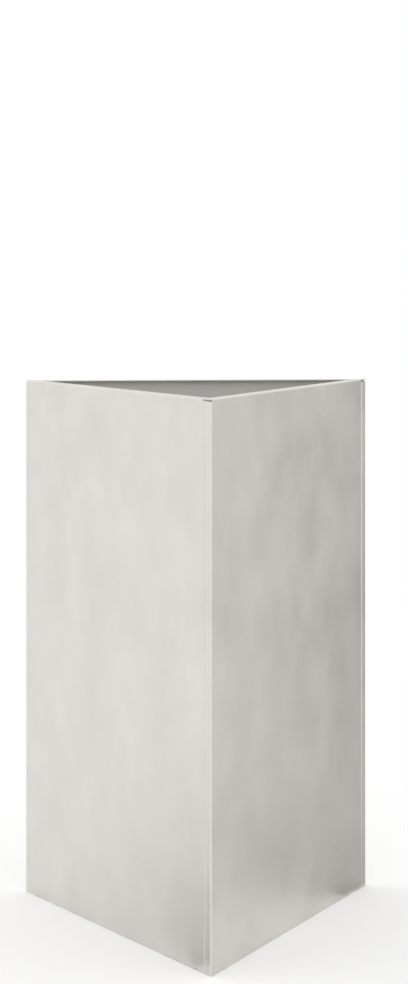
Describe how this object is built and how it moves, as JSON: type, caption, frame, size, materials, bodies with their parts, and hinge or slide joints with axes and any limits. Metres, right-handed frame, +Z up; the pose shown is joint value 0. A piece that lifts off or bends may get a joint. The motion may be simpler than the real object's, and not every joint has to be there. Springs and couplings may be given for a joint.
{
  "type": "planter",
  "caption": "Tall triangular sheet steel planter: open top with folded rim, seams beside its corners, and a raised base tray with drain holes.",
  "frame": {"origin": "centre of the footprint's bounding box, on the floor", "axes": "+Z up, the front corner points along -Y and the rear side faces +Y"},
  "size_m": [0.5, 0.4336, 0.75],
  "materials": {
    "panel_sheet": "satin, fine-grained",
    "tray_sheet": "satin",
    "screw_steel": "bright, machine made",
    "washer_steel": "stamped, dull",
    "nut_steel": "bright, machine made"
  },
  "bodies": {
    "root": {"left_panel": "panel_sheet", "right_panel": "panel_sheet", "rear_panel": "panel_sheet", "base_tray": "tray_sheet", "front_corner_screws": "screw_steel", "front_corner_washers": "washer_steel", "front_corner_nuts": "nut_steel", "left_corner_screws": "screw_steel", "left_corner_washers": "washer_steel", "left_corner_nuts": "nut_steel", "right_corner_screws": "screw_steel", "right_corner_washers": "washer_steel", "right_corner_nuts": "nut_steel"}
  },
  "joints": []
}
